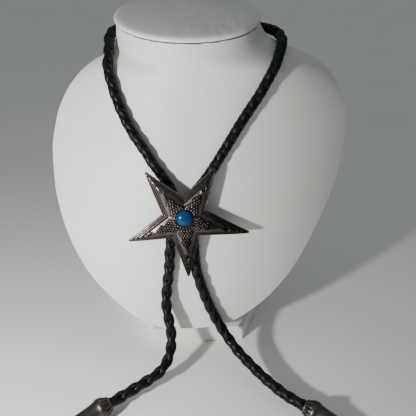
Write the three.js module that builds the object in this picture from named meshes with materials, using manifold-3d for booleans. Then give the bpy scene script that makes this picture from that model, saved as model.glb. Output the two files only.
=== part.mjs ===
// A bolo tie on a neck bust: a braided leather cord that hangs round a padded
// display neck, a five-pointed star slide with a round stone, and two fluted
// metal tips. Millimetres, +Z up, the chest facing -Y, the foot standing on z = 0.
import * as THREE from 'three';
import { mergeVertices } from 'three/addons/utils/BufferGeometryUtils.js';
import Module from 'manifold-3d';

const wasm = await Module();
wasm.setup();

const GAP = 0.3;                 // clearance between pieces that touch

// ---------------------------------------------------------------- the bust
// Each row is one section of the padded body: its height, where its middle lies
// across, half its width, and how far back its front, its two side edges and its
// back are. "edge" is the power that shapes the outline: 1 leaves a sharp rim at
// the sides, 0.5 makes an oval. "tilt" slopes the section up towards the back, in
// degrees, about its side edges.
const BODY_ROWS = [
  { z: 17.0, middle: -7.5, half: 15.0, front: -35.4, side: -34.2, back: -33.2, edge: 1.0, tilt: 0 },
  { z: 19.0, middle: -7.5, half: 22.5, front: -35.2, side: -33.1, back: -31.9, edge: 1.0, tilt: 0 },
  { z: 24.0, middle: -6.9, half: 32.0, front: -34.8, side: -30.6, back: -29.0, edge: 1.0, tilt: 0 },
  { z: 32.0, middle: -6.1, half: 43.5, front: -34.1, side: -25.8, back: -23.8, edge: 1.0, tilt: 0 },
  { z: 44.0, middle: -5.9, half: 55.5, front: -33.1, side: -19.2, back: -16.2, edge: 1.0, tilt: 0 },
  { z: 58.0, middle: -5.3, half: 64.3, front: -31.5, side: -12.6, back: -8.0, edge: 1.0, tilt: 0 },
  { z: 74.0, middle: -3.9, half: 71.3, front: -29.3, side: -5.8, back: 0.0, edge: 1.0, tilt: 0 },
  { z: 90.0, middle: -1.8, half: 75.8, front: -26.8, side: 0.0, back: 7.0, edge: 1.0, tilt: 0 },
  { z: 108.0, middle: 0.0, half: 77.3, front: -22.6, side: 5.2, back: 12.0, edge: 1.0, tilt: 0 },
  { z: 122.0, middle: 1.6, half: 75.6, front: -19.0, side: 8.4, back: 16.0, edge: 1.0, tilt: 0 },
  { z: 134.0, middle: 2.4, half: 70.8, front: -16.8, side: 9.8, back: 20.0, edge: 0.97, tilt: 1 },
  { z: 144.0, middle: 3.0, half: 63.5, front: -15.9, side: 10.2, back: 26.0, edge: 0.9, tilt: 3 },
  { z: 150.0, middle: 3.2, half: 56.0, front: -15.8, side: 10.6, back: 31.0, edge: 0.8, tilt: 5 },
  { z: 154.0, middle: 2.6, half: 47.8, front: -15.9, side: 10.8, back: 34.5, edge: 0.71, tilt: 7 },
  { z: 158.0, middle: -1.1, half: 40.4, front: -16.1, side: 11.0, back: 37.5, edge: 0.63, tilt: 9.5 },
  { z: 162.0, middle: -3.8, half: 36.8, front: -16.3, side: 11.0, back: 39.2, edge: 0.56, tilt: 12 },
  { z: 169.2, middle: -5.6, half: 34.3, front: -16.6, side: 11.0, back: 39.4, edge: 0.5, tilt: 15.5 },
];
const BODY_RINGS = 32;           // sections drawn from the lowest row to the highest
const BODY_CROWDING = 0.12;      // how much closer together they lie at both ends
const BODY_ARC_STEPS = 20;       // faces across the front, and as many across the back
const CHEST_CURVE = 2.1;         // power of the curve from the chest's middle to its rim

// The padded cap on the neck: its own outline, as shares of the neck's, and its lift.
const CAP_ROWS = [
  { scale: 0.98, lift: 0.0 },
  { scale: 1.02, lift: 0.5 },
  { scale: 1.035, lift: 1.4 },
  { scale: 1.02, lift: 2.4 },
  { scale: 0.97, lift: 3.1 },
  { scale: 0.85, lift: 3.5 },
  { scale: 0.5, lift: 3.9 },
];

// The foot: a flat board that widens towards the back, with an upright behind it
// that carries the body.
const FOOT = { middle: -2.9, front: -27.0, back: 41.4, frontHalf: 24.9, backHalf: 56.0, height: 9.9 };
const UPRIGHT = { middle: -6.0, half: 15.0, front: -24.0, back: 0.0, top: 60.0 };

// --------------------------------------------------------------- the slide
// The slide leans back with the chest and swings a little round it. Its own frame has its
// centre on the back of the plate, x across, y up along the star and z out of its face.
const SLIDE = { x: -9.5, y: -33.7, z: 84.85, lean: 8.6, swing: 2.4 };
const STAR_MIDDLE = { x: 0.3, y: -1.3 }; // the star's middle from the stone's
// Middle to the end of each point before it is rounded, and the degrees that it is turned,
// from the lowest one round.
const STAR_POINTS = [
  { reach: 33.3, turn: 1.9 },
  { reach: 34.9, turn: 1.5 },
  { reach: 29.8, turn: 4.4 },
  { reach: 30.8, turn: 1.5 },
  { reach: 31.0, turn: 3.2 },
];
const STAR_NOTCH = 11.2;         // middle to an inner corner
const NOTCH_TURN = 3.0;          // degrees that the inner corners are turned
const TIP_ROUND = 0.6;           // radius at the end of each point
const TIP_ROUND_STEPS = 3;
// The star's relief from its back to its middle, as shares of the outline and heights.
const STAR_ROWS = [
  { scale: 0.1, height: 0.0 },
  { scale: 0.35, height: 0.0 },
  { scale: 0.65, height: 0.0 },
  { scale: 0.8, height: 0.0 },
  { scale: 0.9, height: 0.0 },
  { scale: 0.97, height: 0.0 },
  { scale: 1.0, height: 0.4 },
  { scale: 1.0, height: 0.9 },
  { scale: 0.965, height: 1.2 },
  { scale: 0.77, height: 1.95 },
  { scale: 0.75, height: 2.0 },
  { scale: 0.69, height: 3.0 },
  { scale: 0.6, height: 3.15 },
  { scale: 0.4, height: 3.3 },
  { scale: 0.2, height: 3.4 },
];
// How far the star is bent back at a distance from its middle.
const STAR_DOME = { drop: 2.3, at: 31.8, power: 3.0 };
const STONE_RADIUS = 4.1;
const STONE_ROWS = [
  { radius: 1.0, height: 0.0 },
  { radius: 1.0, height: 0.7 },
  { radius: 0.93, height: 1.6 },
  { radius: 0.78, height: 2.4 },
  { radius: 0.54, height: 3.0 },
  { radius: 0.27, height: 3.3 },
];
const STONE_SIDES = 28;
const STONE_SEAT_DEPTH = 0.8;
const CLIP = { half: 7.9, halfLength: 4.5, depth: 5.4, fuse: 0.6 };
const CHANNEL = { offset: 4.0, half: 2.75, depth: 4.9 };

// ---------------------------------------------------------------- the cord
const CORD_RADIUS = 2.25;
const CORD_SIDES = 10;
const LOOP_STEPS = 46;
const TAIL_STEPS = 15;

// Round the neck, from the slide's left channel back to its right one.
const LOOP_ROUTE = [
  [-13.6, -31.4, 85.0],
  [-13.7, -30.3, 91.0],
  [-15.2, -28.2, 95.8],
  [-19.2, -25.6, 101.8],
  [-23.6, -23.2, 107.4],
  [-27.6, -20.6, 113.6],
  [-31.6, -18.0, 119.0],
  [-35.2, -15.0, 124.8],
  [-38.2, -12.3, 131.0],
  [-40.7, -9.5, 137.6],
  [-42.5, -6.8, 143.7],
  [-43.9, -3.6, 149.5],
  [-43.5, 0.6, 154.2],
  [-43.5, 5.0, 158.0],
  [-43.6, 9.5, 160.8],
  [-43.0, 13.8, 162.2],
  [-42.2, 18.6, 162.9],
  [-40.3, 23.4, 163.3],
  [-36.6, 29.2, 163.5],
  [-29.6, 35.8, 163.7],
  [-19.0, 40.2, 163.8],
  [-6.0, 42.2, 163.8],
  [7.6, 40.8, 163.7],
  [19.6, 36.2, 163.5],
  [29.1, 29.9, 163.4],
  [35.4, 23.2, 162.9],
  [38.6, 17.2, 162.3],
  [40.0, 11.0, 161.2],
  [40.0, 4.4, 159.3],
  [38.7, -0.9, 157.5],
  [36.6, -7.5, 155.1],
  [34.1, -12.6, 150.8],
  [30.3, -14.4, 144.0],
  [26.5, -16.2, 137.8],
  [22.2, -18.0, 131.9],
  [18.0, -19.6, 125.8],
  [13.6, -21.8, 119.2],
  [9.4, -23.7, 112.8],
  [4.6, -25.8, 105.8],
  [0.0, -27.6, 99.8],
  [-3.9, -29.2, 95.4],
  [-5.6, -30.0, 91.0],
  [-5.6, -31.1, 85.0],
];

// From the slide down the chest and forward to the mouth of each tip.
const LEFT_ROUTE = [
  [-13.6, -31.5, 84.6],
  [-13.6, -32.2, 78.6],
  [-14.9, -32.2, 74.4],
  [-16.6, -32.5, 69.2],
  [-17.4, -33.4, 62.0],
  [-17.9, -34.0, 54.8],
  [-18.8, -34.8, 48.2],
  [-19.6, -36.2, 42.0],
  [-19.9, -38.2, 37.0],
  [-19.5, -40.2, 32.9],
  [-18.7, -42.1, 28.6],
  [-17.9, -43.9, 23.6],
  [-17.7, -46.0, 19.1],
  [-18.4, -50.2, 14.6],
  [-20.5, -54.8, 11.6],
  [-24.2, -59.2, 9.5],
  [-29.3, -62.4, 8.1],
  [-35.3, -66.0, 7.0],
  [-41.4, -69.7, 6.0],
];
const RIGHT_ROUTE = [
  [-5.6, -31.1, 84.6],
  [-5.5, -31.8, 78.6],
  [-5.3, -32.3, 73.0],
  [-5.0, -33.15, 65.4],
  [-4.0, -34.6, 54.0],
  [-1.7, -35.5, 45.0],
  [1.3, -36.2, 35.8],
  [4.6, -36.8, 27.6],
  [8.6, -38.4, 19.8],
  [12.2, -41.5, 15.0],
  [16.8, -47.4, 11.2],
  [21.8, -53.7, 8.9],
  [26.9, -60.4, 7.4],
  [32.1, -66.9, 6.5],
  [37.4, -73.0, 6.0],
];

// The tips lie on the floor: where the mouth of each is and which way it points,
// in degrees from +X.
const TIPS = [
  { name: 'tip_left', mouth: [-47.1, -73.7, 5.75], heading: 216 },
  { name: 'tip_right', mouth: [45.6, -80.3, 5.75], heading: -40 },
];
const TIP_DROOP = 3.2;           // degrees that its far end lies lower
// A tip's outline from its rounded end to its mouth, and the depth of its flutes.
const TIP_ROWS = [
  { along: 42.0, radius: 1.2, flute: 0.0 },
  { along: 41.4, radius: 2.2, flute: 0.0 },
  { along: 40.0, radius: 2.9, flute: 0.0 },
  { along: 36.0, radius: 3.2, flute: 0.0 },
  { along: 15.0, radius: 3.75, flute: 0.0 },
  { along: 6.6, radius: 4.6, flute: 0.0 },
  { along: 4.2, radius: 5.2, flute: 0.0 },
  { along: 3.5, radius: 5.15, flute: 0.25 },
  { along: 1.6, radius: 4.2, flute: 0.3 },
  { along: 0.0, radius: 3.3, flute: 0.25 },
];
const TIP_FLUTES = 14;
const TIP_SIDES_PER_FLUTE = 3;

// ------------------------------------------------------ small shared helpers

function nodeMesh(name, geometry, colour, roughness, metalness) {
  const material = new THREE.MeshStandardMaterial({ color: colour, roughness, metalness });
  const mesh = new THREE.Mesh(geometry, material);
  mesh.name = name;
  return mesh;
}

const radians = THREE.MathUtils.degToRad;

// A smooth value between the rows of a table: a cubic that passes through every
// row and doesn't overshoot between them.
function valueAt(rows, column, z) {
  const last = rows.length - 2;
  let i = 0;
  while (i < last && z > rows[i + 1].z) {
    i += 1;
  }
  const slope = (k) => (rows[k + 1][column] - rows[k][column]) / (rows[k + 1].z - rows[k].z);
  const tangent = (k) => {
    const before = slope(Math.max(k - 1, 0));
    const after = slope(Math.min(k, last));
    return before * after > 0 ? (2 * before * after) / (before + after) : 0;
  };
  const span = rows[i + 1].z - rows[i].z;
  const t = (z - rows[i].z) / span;
  return (
    (1 + 2 * t) * (1 - t) ** 2 * rows[i][column] +
    t * t * (3 - 2 * t) * rows[i + 1][column] +
    t * (1 - t) ** 2 * span * tangent(i) +
    t * t * (t - 1) * span * tangent(i + 1)
  );
}

// A closed body through rings of points. Each ring runs anticlockwise as seen
// from the side that the rings go towards, and a fan closes the first and the last.
function loftGeometry(rings) {
  const count = rings[0].length;
  const points = rings.flat();
  const faces = [];
  for (let r = 0; r + 1 < rings.length; r += 1) {
    for (let i = 0; i < count; i += 1) {
      const a = r * count + i;
      const b = r * count + ((i + 1) % count);
      faces.push(a, b, b + count, a, b + count, a + count);
    }
  }
  const centre = (ring) => {
    const sum = new THREE.Vector3();
    ring.forEach((p) => sum.add(p));
    return sum.divideScalar(ring.length);
  };
  const bottom = points.length;
  const top = bottom + 1;
  points.push(centre(rings[0]), centre(rings[rings.length - 1]));
  const lastRing = (rings.length - 1) * count;
  for (let i = 0; i < count; i += 1) {
    const next = (i + 1) % count;
    faces.push(bottom, next, i);
    faces.push(top, lastRing + i, lastRing + next);
  }
  const geometry = new THREE.BufferGeometry();
  geometry.setFromPoints(points);
  geometry.setIndex(faces);
  geometry.computeVertexNormals();
  return geometry;
}

function toSolid(geometry) {
  const bare = geometry.clone();
  bare.deleteAttribute('normal');
  bare.deleteAttribute('uv');
  const merged = mergeVertices(bare, 1e-4);
  return new wasm.Manifold(new wasm.Mesh({
    numProp: 3,
    vertProperties: new Float32Array(merged.attributes.position.array),
    triVerts: new Uint32Array(merged.index.array),
  }));
}

function toGeometry(solid) {
  const mesh = solid.getMesh();
  const geometry = new THREE.BufferGeometry();
  geometry.setAttribute('position', new THREE.BufferAttribute(mesh.vertProperties, mesh.numProp));
  geometry.setIndex(new THREE.BufferAttribute(mesh.triVerts, 1));
  geometry.computeVertexNormals();
  return geometry;
}

function boxAt(low, high) {
  const size = new THREE.Vector3().subVectors(high, low);
  const middle = new THREE.Vector3().addVectors(high, low).divideScalar(2);
  const geometry = new THREE.BoxGeometry(size.x, size.y, size.z);
  geometry.translate(middle.x, middle.y, middle.z);
  return geometry;
}

// ----------------------------------------------------------------- the body

function bodyRing(z) {
  const row = {};
  for (const column of ['middle', 'half', 'front', 'side', 'back', 'edge', 'tilt']) {
    row[column] = valueAt(BODY_ROWS, column, z);
  }
  const slope = Math.tan(radians(row.tilt));
  const ring = [];
  const add = (across, far, power) => {
    const bulge = (1 - Math.abs(across) ** power) ** row.edge;
    const y = row.side + (far - row.side) * bulge;
    ring.push(new THREE.Vector3(row.middle + across * row.half, y, z + (y - row.side) * slope));
  };
  for (let i = 0; i < BODY_ARC_STEPS; i += 1) {
    add(-Math.cos((Math.PI * i) / BODY_ARC_STEPS), row.front, CHEST_CURVE);
  }
  for (let i = 0; i < BODY_ARC_STEPS; i += 1) {
    add(Math.cos((Math.PI * i) / BODY_ARC_STEPS), row.back, 2);
  }
  return ring;
}

function bodyGeometry() {
  const first = BODY_ROWS[0].z;
  const last = BODY_ROWS[BODY_ROWS.length - 1].z;
  const rings = [];
  for (let i = 0; i <= BODY_RINGS; i += 1) {
    const t = i / BODY_RINGS;
    const eased = t - BODY_CROWDING * Math.sin(2 * Math.PI * t);
    rings.push(bodyRing(first + (last - first) * eased));
  }
  return loftGeometry(rings);
}

function neckCap() {
  const neck = BODY_ROWS[BODY_ROWS.length - 1];
  const outline = bodyRing(neck.z);
  const middle = new THREE.Vector3(neck.middle, neck.side, neck.z);
  const tilt = radians(neck.tilt);
  const up = new THREE.Vector3(0, -Math.sin(tilt), Math.cos(tilt));
  const rings = CAP_ROWS.map(({ scale, lift }) => outline.map((p) => (
    p.clone().sub(middle).multiplyScalar(scale).add(middle).addScaledVector(up, lift + GAP)
  )));
  return nodeMesh('neck_cap', loftGeometry(rings), 0xd9d8d2, 0.6, 0);
}

function bustFoot(body) {
  const board = new THREE.Shape([
    new THREE.Vector2(FOOT.middle - FOOT.frontHalf, FOOT.front),
    new THREE.Vector2(FOOT.middle + FOOT.frontHalf, FOOT.front),
    new THREE.Vector2(FOOT.middle + FOOT.backHalf, FOOT.back),
    new THREE.Vector2(FOOT.middle - FOOT.backHalf, FOOT.back),
  ]);
  const slab = new THREE.ExtrudeGeometry(board, { depth: FOOT.height, bevelEnabled: false });
  const post = boxAt(
    new THREE.Vector3(UPRIGHT.middle - UPRIGHT.half, UPRIGHT.front, FOOT.height / 2),
    new THREE.Vector3(UPRIGHT.middle + UPRIGHT.half, UPRIGHT.back, UPRIGHT.top),
  );
  const clearance = body.clone().translate(0, GAP, -GAP);
  const solid = toSolid(slab).add(toSolid(post)).subtract(toSolid(clearance));
  return nodeMesh('bust_foot', toGeometry(solid), 0xd4d3cd, 0.6, 0);
}

// ---------------------------------------------------------------- the slide

// The star's outline at a share of its full size and one height, bent back with the dome.
function starRing(scale, height) {
  const half = Math.PI / STAR_POINTS.length;
  const ring = [];
  STAR_POINTS.forEach(({ reach, turn: lean }, k) => {
    const step = -Math.PI / 2 + 2 * half * k;
    const arm = step + radians(lean);
    const sharp = Math.atan2(STAR_NOTCH * Math.sin(half), reach - STAR_NOTCH * Math.cos(half));
    const roundCentre = reach - TIP_ROUND / Math.sin(sharp);
    for (let i = 0; i <= TIP_ROUND_STEPS; i += 1) {
      const turn = (Math.PI / 2 - sharp) * ((2 * i) / TIP_ROUND_STEPS - 1);
      const x = roundCentre * Math.cos(arm) + TIP_ROUND * Math.cos(arm + turn);
      const y = roundCentre * Math.sin(arm) + TIP_ROUND * Math.sin(arm + turn);
      ring.push(new THREE.Vector3(x, y, 0));
    }
    const corner = step + half + radians(NOTCH_TURN);
    ring.push(new THREE.Vector3(STAR_NOTCH * Math.cos(corner), STAR_NOTCH * Math.sin(corner), 0));
  });
  return ring.map((p) => {
    p.multiplyScalar(scale);
    const drop = STAR_DOME.drop * (p.length() / STAR_DOME.at) ** STAR_DOME.power;
    return p.set(p.x + STAR_MIDDLE.x, p.y + STAR_MIDDLE.y, height - drop);
  });
}

function starSlide() {
  const top = STAR_ROWS[STAR_ROWS.length - 1].height;
  const star = toSolid(loftGeometry(STAR_ROWS.map(({ scale, height }) => starRing(scale, height))));
  const block = toSolid(boxAt(
    new THREE.Vector3(-CLIP.half, -CLIP.halfLength, -CLIP.depth),
    new THREE.Vector3(CLIP.half, CLIP.halfLength, CLIP.fuse),
  ));
  let solid = star.add(block);
  for (const side of [-1, 1]) {
    const middle = side * CHANNEL.offset;
    solid = solid.subtract(toSolid(boxAt(
      new THREE.Vector3(middle - CHANNEL.half, -2 * CLIP.halfLength, -CHANNEL.depth),
      new THREE.Vector3(middle + CHANNEL.half, 2 * CLIP.halfLength, 0),
    )));
  }
  const seat = new THREE.CylinderGeometry(
    STONE_RADIUS + GAP,
    STONE_RADIUS + GAP,
    2 * STONE_SEAT_DEPTH,
    STONE_SIDES,
  );
  seat.rotateX(Math.PI / 2);
  seat.translate(0, 0, top);
  return nodeMesh('star_slide', toGeometry(solid.subtract(toSolid(seat))), 0x5a5652, 0.35, 0.9);
}

function stone() {
  const top = STAR_ROWS[STAR_ROWS.length - 1].height;
  const crown = STONE_ROWS[STONE_ROWS.length - 1].height;
  const profile = [
    new THREE.Vector2(0, 0),
    ...STONE_ROWS.map(({ radius, height }) => new THREE.Vector2(radius * STONE_RADIUS, height)),
    new THREE.Vector2(0, crown + 0.1),
  ];
  const geometry = new THREE.LatheGeometry(profile, STONE_SIDES);
  geometry.rotateX(Math.PI / 2);
  const mesh = nodeMesh('turquoise_stone', geometry, 0x0a69a5, 0.3, 0);
  mesh.position.z = top - STONE_SEAT_DEPTH + GAP;
  return mesh;
}

function slide() {
  const group = new THREE.Group();
  group.position.set(SLIDE.x, SLIDE.y, SLIDE.z);
  group.rotation.set(Math.PI / 2 - radians(SLIDE.lean), 0, radians(SLIDE.swing), 'ZYX');
  group.add(starSlide(), stone());
  return group;
}

// ------------------------------------------------------- the cord and its tips

function cordTube(name, route, steps) {
  const path = new THREE.CatmullRomCurve3(route.map((p) => new THREE.Vector3(...p)));
  const section = new THREE.Shape();
  for (let i = 0; i < CORD_SIDES; i += 1) {
    const angle = (2 * Math.PI * i) / CORD_SIDES;
    const x = CORD_RADIUS * Math.cos(angle);
    const y = CORD_RADIUS * Math.sin(angle);
    if (i === 0) {
      section.moveTo(x, y);
    } else {
      section.lineTo(x, y);
    }
  }
  section.closePath();
  const geometry = new THREE.ExtrudeGeometry(section, { steps, extrudePath: path, bevelEnabled: false });
  return nodeMesh(name, geometry, 0x15161a, 0.45, 0);
}

function tipDirection({ heading }) {
  const droop = radians(TIP_DROOP);
  const turn = radians(heading);
  return new THREE.Vector3(
    Math.cos(droop) * Math.cos(turn),
    Math.cos(droop) * Math.sin(turn),
    -Math.sin(droop),
  );
}

// The last point of a tail: square on to the tip's mouth, and just short of it.
function atMouth(tip) {
  const mouth = new THREE.Vector3(...tip.mouth);
  return mouth.addScaledVector(tipDirection(tip), -GAP).toArray();
}

function cordTip(tip) {
  const sides = TIP_FLUTES * TIP_SIDES_PER_FLUTE;
  const circle = (radius, along, flute) => {
    const ring = [];
    for (let i = 0; i < sides; i += 1) {
      const angle = (-2 * Math.PI * i) / sides;
      const r = radius - flute * (0.5 + 0.5 * Math.cos(TIP_FLUTES * angle));
      ring.push(new THREE.Vector3(r * Math.cos(angle), r * Math.sin(angle), along));
    }
    return ring;
  };
  const rings = TIP_ROWS.map(({ along, radius, flute }) => circle(radius, along, flute));
  const mesh = nodeMesh(tip.name, loftGeometry(rings), 0x46443f, 0.35, 0.9);
  mesh.position.set(...tip.mouth);
  mesh.quaternion.setFromUnitVectors(new THREE.Vector3(0, 0, 1), tipDirection(tip));
  return mesh;
}

// ------------------------------------------------------------- the whole thing

const [tipLeft, tipRight] = TIPS;
const body = bodyGeometry();
const part = new THREE.Group();
part.add(nodeMesh('bust_body', body, 0xd9d8d2, 0.6, 0));
part.add(neckCap());
part.add(bustFoot(body));
part.add(slide());
part.add(cordTube('cord_loop', LOOP_ROUTE, LOOP_STEPS));
part.add(cordTube('cord_tail_left', [...LEFT_ROUTE, atMouth(tipLeft)], TAIL_STEPS));
part.add(cordTube('cord_tail_right', [...RIGHT_ROUTE, atMouth(tipRight)], TAIL_STEPS));
TIPS.forEach((tip) => part.add(cordTip(tip)));

export default part;
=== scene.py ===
import math

import bmesh
import bpy
import numpy as np
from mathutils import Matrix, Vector


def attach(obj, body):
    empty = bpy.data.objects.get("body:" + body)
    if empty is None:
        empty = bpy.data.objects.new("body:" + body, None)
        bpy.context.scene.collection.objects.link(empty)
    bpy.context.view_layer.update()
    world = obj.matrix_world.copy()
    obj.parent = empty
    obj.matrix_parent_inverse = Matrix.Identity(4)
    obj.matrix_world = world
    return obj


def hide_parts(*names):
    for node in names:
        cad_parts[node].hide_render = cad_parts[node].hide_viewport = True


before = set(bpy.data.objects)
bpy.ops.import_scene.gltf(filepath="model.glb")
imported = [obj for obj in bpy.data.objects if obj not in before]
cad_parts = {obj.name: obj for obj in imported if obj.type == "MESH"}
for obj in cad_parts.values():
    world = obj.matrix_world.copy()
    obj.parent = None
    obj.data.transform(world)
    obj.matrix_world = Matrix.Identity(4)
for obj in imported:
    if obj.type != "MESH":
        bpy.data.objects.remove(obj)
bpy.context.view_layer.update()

# A bolo tie on a neck bust: its pieces in fine detail over the CAD solids, then floor and light.
# Lengths are in metres or, where MM turns them into metres, in millimetres.
MM = 0.001

# ------------------------------------------------------------------ the camera
LENS_MM = 42.404
SENSOR_MM = 36.0
CAMERA_AT = (-0.0090, -0.2420, 0.1951)    # metres
CAMERA_DOWN = 27.0                # degrees that it looks down
CAMERA_TURN = -3.0                # degrees about the vertical: it looks a little to the right


def make_camera():
    data = bpy.data.cameras.new("camera")
    data.sensor_width = SENSOR_MM
    data.lens = LENS_MM
    data.clip_start = 0.01
    data.clip_end = 50.0
    camera = bpy.data.objects.new("camera", data)
    camera.location = CAMERA_AT
    camera.rotation_euler = (math.radians(90 - CAMERA_DOWN), 0, math.radians(CAMERA_TURN))
    bpy.context.scene.collection.objects.link(camera)
    bpy.context.scene.camera = camera


make_camera()

# ------------------------------------------------- the bust's table, millimetres
# Each row is a section: its height, where its middle lies across, half its width, how far
# back its front, its two side edges and its back lie, the power that rounds it from side to
# front, and its slope in degrees.
BODY_COLUMNS = ("z", "middle", "half", "front", "side", "back", "edge", "tilt")
BODY_ROWS = np.array([
    (17.0, -7.5, 15.0, -35.4, -34.2, -33.2, 1.0, 0),
    (19.0, -7.5, 22.5, -35.2, -33.1, -31.9, 1.0, 0),
    (24.0, -6.9, 32.0, -34.8, -30.6, -29.0, 1.0, 0),
    (32.0, -6.1, 43.5, -34.1, -25.8, -23.8, 1.0, 0),
    (44.0, -5.9, 55.5, -33.1, -19.2, -16.2, 1.0, 0),
    (58.0, -5.3, 64.3, -31.5, -12.6, -8.0, 1.0, 0),
    (74.0, -3.9, 71.3, -29.3, -5.8, 0.0, 1.0, 0),
    (90.0, -1.8, 75.8, -26.8, 0.0, 7.0, 1.0, 0),
    (108.0, 0.0, 77.3, -22.6, 5.2, 12.0, 1.0, 0),
    (122.0, 1.6, 75.6, -19.0, 8.4, 16.0, 1.0, 0),
    (134.0, 2.4, 70.8, -16.8, 9.8, 20.0, 0.97, 1),
    (144.0, 3.0, 63.5, -15.9, 10.2, 26.0, 0.9, 3),
    (150.0, 3.2, 56.0, -15.8, 10.6, 31.0, 0.8, 5),
    (154.0, 2.6, 47.8, -15.9, 10.8, 34.5, 0.76, 7),
    (158.0, -1.1, 40.4, -16.1, 11.0, 37.5, 0.71, 9.5),
    (162.0, -3.8, 36.8, -16.3, 11.0, 39.2, 0.64, 12),
    (169.2, -5.6, 34.3, -16.6, 11.0, 39.4, 0.5, 15.5),
])
CHEST_CURVE, BACK_CURVE = 2.1, 2.0     # powers that round it from side to side

# ------------------------------------------------------- the cords' routes, metres
LOOP_ROUTE = [
    (-0.0136, -0.0314, 0.0850),
    (-0.0137, -0.0303, 0.0910),
    (-0.0152, -0.0282, 0.0958),
    (-0.0192, -0.0256, 0.1018),
    (-0.0236, -0.0232, 0.1074),
    (-0.0276, -0.0206, 0.1136),
    (-0.0316, -0.0180, 0.1190),
    (-0.0352, -0.0150, 0.1248),
    (-0.0382, -0.0123, 0.1310),
    (-0.0407, -0.0095, 0.1376),
    (-0.0425, -0.0068, 0.1437),
    (-0.0439, -0.0036, 0.1495),
    (-0.0435, 0.0006, 0.1542),
    (-0.0435, 0.0050, 0.1580),
    (-0.0436, 0.0095, 0.1608),
    (-0.0430, 0.0138, 0.1622),
    (-0.0422, 0.0186, 0.1629),
    (-0.0403, 0.0234, 0.1633),
    (-0.0366, 0.0292, 0.1635),
    (-0.0296, 0.0358, 0.1637),
    (-0.0190, 0.0402, 0.1638),
    (-0.0060, 0.0422, 0.1638),
    (0.0076, 0.0408, 0.1637),
    (0.0196, 0.0362, 0.1635),
    (0.0291, 0.0299, 0.1634),
    (0.0354, 0.0232, 0.1629),
    (0.0386, 0.0172, 0.1623),
    (0.0400, 0.0110, 0.1612),
    (0.0400, 0.0044, 0.1593),
    (0.0387, -0.0009, 0.1575),
    (0.0366, -0.0075, 0.1551),
    (0.0341, -0.0126, 0.1508),
    (0.0303, -0.0144, 0.1440),
    (0.0265, -0.0162, 0.1378),
    (0.0222, -0.0180, 0.1319),
    (0.0180, -0.0196, 0.1258),
    (0.0136, -0.0218, 0.1192),
    (0.0094, -0.0237, 0.1128),
    (0.0046, -0.0258, 0.1058),
    (0.0000, -0.0276, 0.0998),
    (-0.0039, -0.0292, 0.0954),
    (-0.0056, -0.0300, 0.0910),
    (-0.0056, -0.0311, 0.0850),
]
LEFT_ROUTE = [
    (-0.0136, -0.0315, 0.0846),
    (-0.0136, -0.0322, 0.0786),
    (-0.0149, -0.0322, 0.0744),
    (-0.0166, -0.0325, 0.0692),
    (-0.0174, -0.0334, 0.0620),
    (-0.0179, -0.0340, 0.0548),
    (-0.0188, -0.0348, 0.0482),
    (-0.0196, -0.0362, 0.0420),
    (-0.0199, -0.0382, 0.0370),
    (-0.0195, -0.0402, 0.0329),
    (-0.0187, -0.0421, 0.0286),
    (-0.0179, -0.0439, 0.0236),
    (-0.0177, -0.0460, 0.0191),
    (-0.0184, -0.0502, 0.0146),
    (-0.0205, -0.0548, 0.0116),
    (-0.0242, -0.0592, 0.0095),
    (-0.0293, -0.0624, 0.0081),
    (-0.0353, -0.0660, 0.0070),
    (-0.0414, -0.0697, 0.0060),
]
RIGHT_ROUTE = [
    (-0.0056, -0.0311, 0.0846),
    (-0.0055, -0.0318, 0.0786),
    (-0.0053, -0.0323, 0.0730),
    (-0.0050, -0.0331, 0.0654),
    (-0.0040, -0.0346, 0.0540),
    (-0.0017, -0.0355, 0.0450),
    (0.0013, -0.0362, 0.0358),
    (0.0046, -0.0368, 0.0276),
    (0.0086, -0.0384, 0.0198),
    (0.0122, -0.0415, 0.0150),
    (0.0168, -0.0474, 0.0112),
    (0.0218, -0.0537, 0.0089),
    (0.0269, -0.0604, 0.0074),
    (0.0321, -0.0669, 0.0065),
    (0.0374, -0.0730, 0.0060),
]

# A tip's heading is in degrees from +X, seen from above, and its droop in degrees below level.
TIPS = {
    "tip_left": {"mouth": (-0.0471, -0.0737, 0.00575), "heading": 216},
    "tip_right": {"mouth": (0.0456, -0.0803, 0.00575), "heading": -40},
}
TIP_DROOP = 3.2
TIP_GRIP = 0.003                  # how far a cord goes into its tip


# ------------------------------------------------------------- shared helpers
def add_object(name, verts, faces, smooth_angle=None, attribute=None):
    """A mesh object, smooth below an angle in degrees, with a named value at each vertex."""
    mesh = bpy.data.meshes.new(name)
    corners = [tuple(int(i) for i in face) for face in faces]
    mesh.from_pydata([tuple(v) for v in verts], [], corners)
    mesh.update()
    if smooth_angle is not None:
        mesh.shade_smooth()
        if smooth_angle < 180:
            mesh.set_sharp_from_angle(angle=math.radians(smooth_angle))
    if attribute is not None:
        layer = mesh.attributes.new(attribute[0], "FLOAT", "POINT")
        layer.data.foreach_set("value", np.asarray(attribute[1], np.float32))
    obj = bpy.data.objects.new(name, mesh)
    bpy.context.scene.collection.objects.link(obj)
    return obj


def grid(rows, sides, start=0):
    """The vertex numbers of rings of points, and the quads between the rings."""
    index = start + np.arange(rows * sides).reshape(rows, sides)
    beside = np.roll(index, -1, axis=1)
    quads = np.stack([index[:-1], beside[:-1], beside[1:], index[1:]], axis=-1)
    return index, [tuple(quad) for quad in quads.reshape(-1, 4)]


def loft(rings):
    """Vertices and faces of a body through rings of points, with fans at its two ends."""
    rings = np.asarray(rings, float)
    index, faces = grid(*rings.shape[:2])
    verts = np.vstack([rings.reshape(-1, 3), rings[0].mean(0), rings[-1].mean(0)])
    first, last = len(verts) - 2, len(verts) - 1
    faces += [(first, b, a) for a, b in zip(index[0], np.roll(index[0], -1))]
    faces += [(last, a, b) for a, b in zip(index[-1], np.roll(index[-1], -1))]
    return verts, faces


SPANS = 24                        # of a curve between two of its points


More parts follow.
